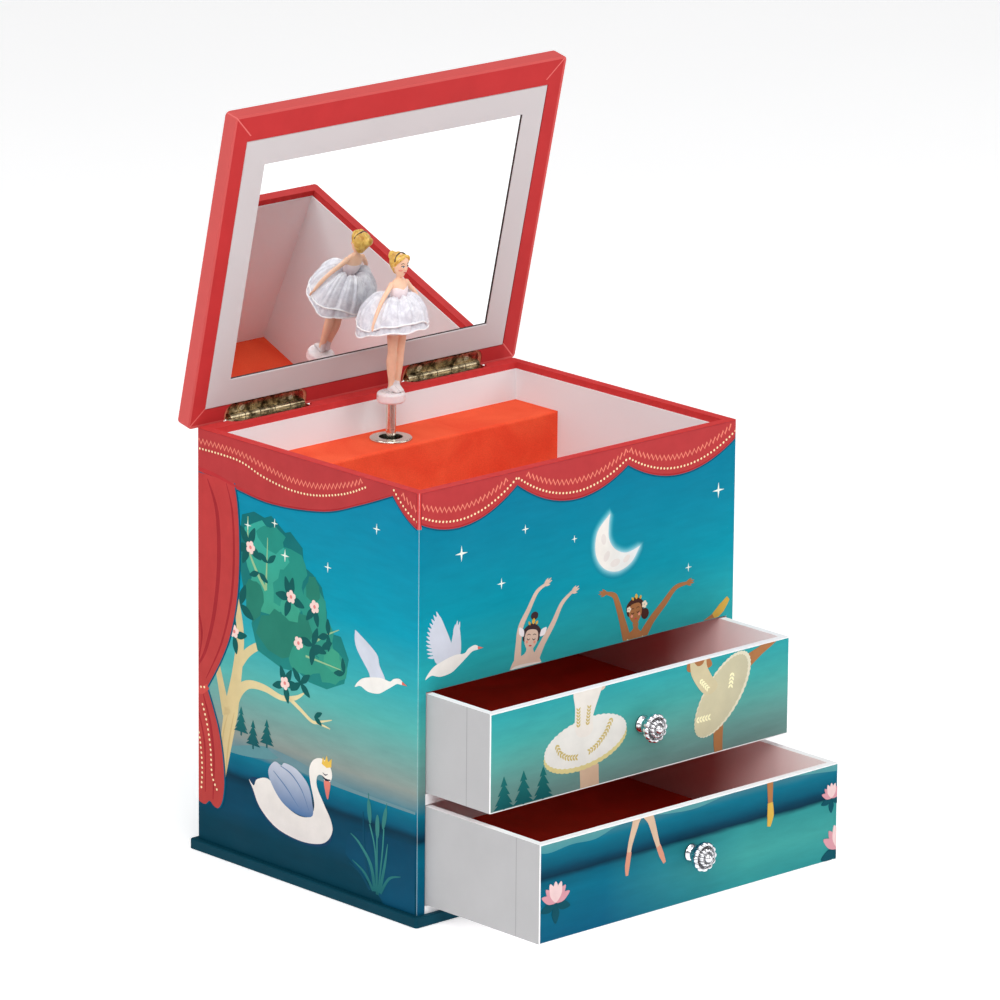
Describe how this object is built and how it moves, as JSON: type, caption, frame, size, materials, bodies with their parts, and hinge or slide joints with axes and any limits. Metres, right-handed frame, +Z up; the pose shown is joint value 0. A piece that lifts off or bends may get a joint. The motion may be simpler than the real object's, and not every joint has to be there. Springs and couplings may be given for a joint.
{
  "type": "ballerina jewellery box",
  "caption": "Lidded board jewellery box with a mirror, a lined tray, drawers with flower knobs and a clockwork dancer that folds under the lid and turns.",
  "frame": {"origin": "centre of the plinth's underside", "axes": "+Z up, the drawers open towards -Y, +X is the right side seen from the front"},
  "size_m": [0.1704, 0.2153, 0.2965],
  "materials": {
    "printed_paper": "matte printed paper over board",
    "lid_wrap": "matt red wrapping paper over board",
    "plinth_wrap": "matt dark teal paper over board",
    "white_board": "smooth white paper over board",
    "lining_paper": "satin pale lining paper",
    "red_flock": "flocked velvet",
    "mirror_glass": "silvered",
    "hinge_metal": "antique plated",
    "screw_metal": "bright plated",
    "knob_metal": "polished",
    "bright_steel": "drawn bar",
    "plate_steel": "zinc plated",
    "movement_brass": "machined",
    "spring_steel": "blued",
    "fly_plastic": "moulded",
    "dancer_plastic": "painted moulded",
    "base_plastic": "moulded",
    "tulle": "gathered organza"
  },
  "bodies": {
    "cabinet": {"base_plinth": "plinth_wrap", "cabinet_floor": "white_board", "left_side_panel": "printed_paper", "right_side_panel": "printed_paper", "back_panel": "printed_paper", "front_panel": "printed_paper", "drawer_divider": "white_board", "compartment_floor": "white_board", "compartment_lining": "lining_paper", "tray_floor_pad": "red_flock", "mechanism_cover": "red_flock", "spindle_ferrule": "knob_metal", "left_hinge_case_leaf": "hinge_metal", "right_hinge_case_leaf": "hinge_metal", "hinge_pins": "hinge_metal", "case_leaf_screws": "screw_metal", "movement_bedplate": "plate_steel", "movement_screws": "screw_metal", "arbor_brackets": "plate_steel", "spindle_bracket": "plate_steel", "comb_block": "plate_steel", "sound_comb": "bright_steel", "comb_screws": "screw_metal"},
    "lid": {"lid_board": "lid_wrap", "lid_inner_panel": "lining_paper", "lid_mirror": "mirror_glass", "left_hinge_lid_leaf": "hinge_metal", "right_hinge_lid_leaf": "hinge_metal", "lid_leaf_screws": "screw_metal"},
    "upper_drawer": {"upper_drawer_front": "printed_paper", "upper_drawer_sides": "white_board", "upper_drawer_back": "white_board", "upper_drawer_bottom": "white_board", "upper_drawer_pad": "red_flock", "upper_drawer_knob": "knob_metal", "upper_drawer_knob_screw": "screw_metal"},
    "lower_drawer": {"lower_drawer_front": "printed_paper", "lower_drawer_sides": "white_board", "lower_drawer_back": "white_board", "lower_drawer_bottom": "white_board", "lower_drawer_pad": "red_flock", "lower_drawer_knob": "knob_metal", "lower_drawer_knob_screw": "screw_metal"},
    "winder": {"winding_arbor": "bright_steel", "winding_key": "plate_steel"},
    "barrel": {"mainspring_barrel": "movement_brass", "mainspring": "spring_steel"},
    "spindle": {"dancer_spindle": "bright_steel", "dancer_pinion": "movement_brass"},
    "cylinder": {"pinned_cylinder": "movement_brass", "cylinder_arbor": "bright_steel", "cylinder_wheels": "movement_brass"},
    "governor": {"governor_pinion": "movement_brass", "governor_fly": "fly_plastic"},
    "dancer_tilt": {"dancer_spring": "bright_steel"},
    "dancer": {"dancer_base": "base_plastic", "dancer_figure": "dancer_plastic", "dancer_tutu": "tulle"}
  },
  "joints": [
    {"name": "lid_hinge", "type": "hinge", "parent": "cabinet", "child": "lid", "pos_m": [0, 0.0655, 0.1691], "axis": [-1, 0, 0], "range_deg": [-77.3, 0]},
    {"name": "upper_drawer_slide", "type": "slide", "parent": "cabinet", "child": "upper_drawer", "axis": [0, -1, 0], "range_m": [-0.0352, 0.055]},
    {"name": "lower_drawer_slide", "type": "slide", "parent": "cabinet", "child": "lower_drawer", "axis": [0, -1, 0], "range_m": [-0.0629, 0.027]},
    {"name": "winding_key_turn", "type": "hinge", "parent": "cabinet", "child": "winder", "pos_m": [0, 0, 0.12], "axis": [0, 1, 0], "continuous": true},
    {"name": "barrel_spin", "type": "hinge", "parent": "cabinet", "child": "barrel", "pos_m": [0, 0, 0.12], "axis": [0, 1, 0], "continuous": true},
    {"name": "spindle_spin", "type": "hinge", "parent": "cabinet", "child": "spindle", "pos_m": [0, 0.0441, 0.14], "axis": [0, 0, 1], "continuous": true},
    {"name": "cylinder_spin", "type": "hinge", "parent": "cabinet", "child": "cylinder", "pos_m": [0.03, 0.0441, 0.12], "axis": [1, 0, 0], "continuous": true},
    {"name": "governor_spin", "type": "hinge", "parent": "cabinet", "child": "governor", "pos_m": [0.05, 0.0441, 0.11], "axis": [1, 0, 0], "continuous": true},
    {"name": "dancer_fold", "type": "hinge", "parent": "cabinet", "child": "dancer_tilt", "pos_m": [0, 0.0441, 0.1636], "axis": [-1, 0, 0], "range_deg": [-108, 0], "deforming": ["dancer_spring"]},
    {"name": "dancer_spin", "type": "hinge", "parent": "dancer_tilt", "child": "dancer", "pos_m": [0, 0.0441, 0.17], "axis": [0, 0, 1], "continuous": true}
  ],
  "couplings": [
    {"joint": "spindle_spin", "follows": "barrel_spin", "ratio": -3},
    {"joint": "cylinder_spin", "follows": "barrel_spin", "ratio": -3},
    {"joint": "governor_spin", "follows": "barrel_spin", "ratio": 9},
    {"joint": "dancer_spin", "follows": "barrel_spin", "ratio": -3},
    {"joint": "dancer_fold", "follows": "lid_hinge", "ratio": 1.3967}
  ]
}
